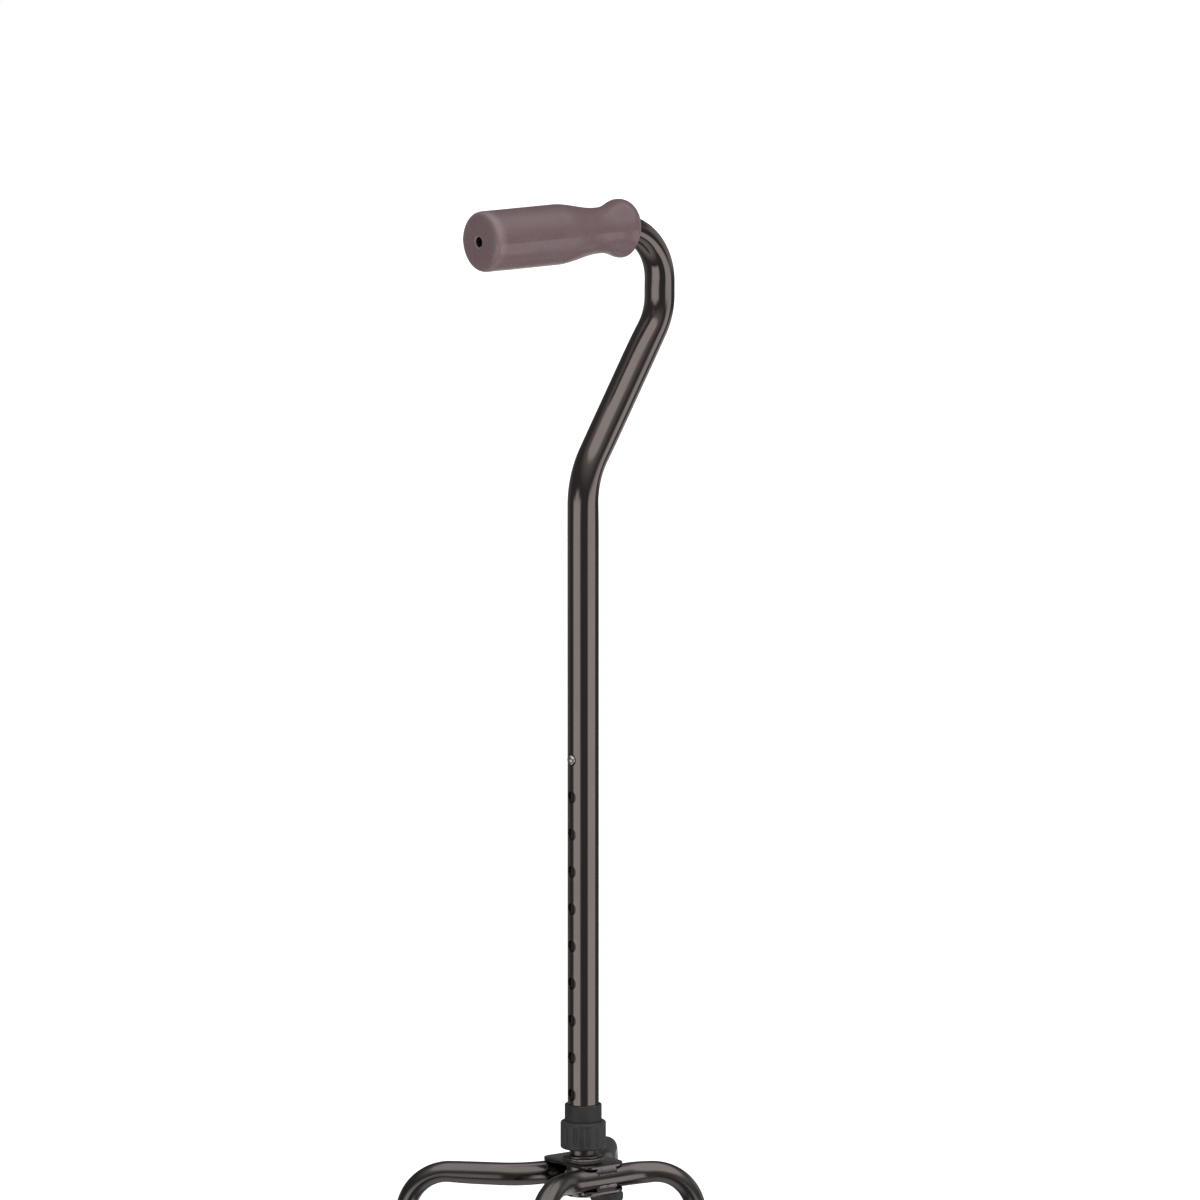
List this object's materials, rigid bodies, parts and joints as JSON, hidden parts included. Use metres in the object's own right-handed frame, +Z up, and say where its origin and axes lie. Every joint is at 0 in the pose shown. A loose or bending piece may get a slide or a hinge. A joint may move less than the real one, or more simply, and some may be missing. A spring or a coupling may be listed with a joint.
{
  "type": "quad walking cane",
  "caption": "Offset-handle walking cane with a sliding bent tube, snap-button height setting, a moulded palm grip and a four-footed base on rubber tips.",
  "frame": {"origin": "centre of the base's footprint, on the floor", "axes": "+Z up along the shaft, -Y the way the grip points, +X the user's side"},
  "size_m": [0.154, 0.209, 0.762],
  "materials": {
    "bronze_tube": "glossy dark bronze anodised",
    "stem_metal": "satin dark bronze with fine sliding scratches",
    "base_steel": "glossy dark bronze powder coat",
    "grip_vinyl": "satin mauve-brown moulded vinyl",
    "black_nylon": "satin moulded nylon",
    "ring_plastic": "satin moulded plastic with finger flutes",
    "button_steel": "plated, lightly worn",
    "spring_steel": "plain spring strip",
    "tip_rubber": "matt moulded rubber, scuffed near the floor"
  },
  "bodies": {
    "base": {"stem_tube": "stem_metal", "stem_top_bush": "black_nylon", "stem_bottom_plug": "black_nylon", "base_hub": "base_steel", "hub_rivet": "button_steel", "gusset_top": "base_steel", "gusset_bottom": "base_steel", "leg_tube_inner": "base_steel", "leg_tube_outer": "base_steel", "foot_tip_front_inner": "tip_rubber", "foot_tip_rear_inner": "tip_rubber", "foot_tip_front_outer": "tip_rubber", "foot_tip_rear_outer": "tip_rubber", "tip_washer_front_inner": "spring_steel", "tip_washer_rear_inner": "spring_steel", "tip_washer_front_outer": "spring_steel", "tip_washer_rear_outer": "spring_steel", "snap_spring": "spring_steel"},
    "collet": {"collet_bush": "black_nylon"},
    "upper": {"upper_tube": "bronze_tube", "grip": "grip_vinyl"},
    "ring": {"lock_ring": "ring_plastic"},
    "button": {"snap_button": "button_steel"}
  },
  "joints": [
    {"name": "height_adjust", "type": "slide", "parent": "base", "child": "collet", "axis": [0, 0, 1], "range_m": [0, 0.2376], "deforming": ["snap_button"]},
    {"name": "handle_turn", "type": "hinge", "parent": "collet", "child": "upper", "pos_m": [0.024, 0, 0.112], "axis": [0, 0, 1], "range_deg": [0, 180]},
    {"name": "lock_ring_turn", "type": "hinge", "parent": "collet", "child": "ring", "pos_m": [0.024, 0, 0.104], "axis": [0, 0, 1], "range_deg": [0, 180]},
    {"name": "button_press", "type": "slide", "parent": "base", "child": "button", "axis": [0, 1, 0], "range_m": [0, 0.0036], "stiffness_N_per_m": 2500, "springref_m": -0.001, "deforming": ["snap_spring"]}
  ]
}
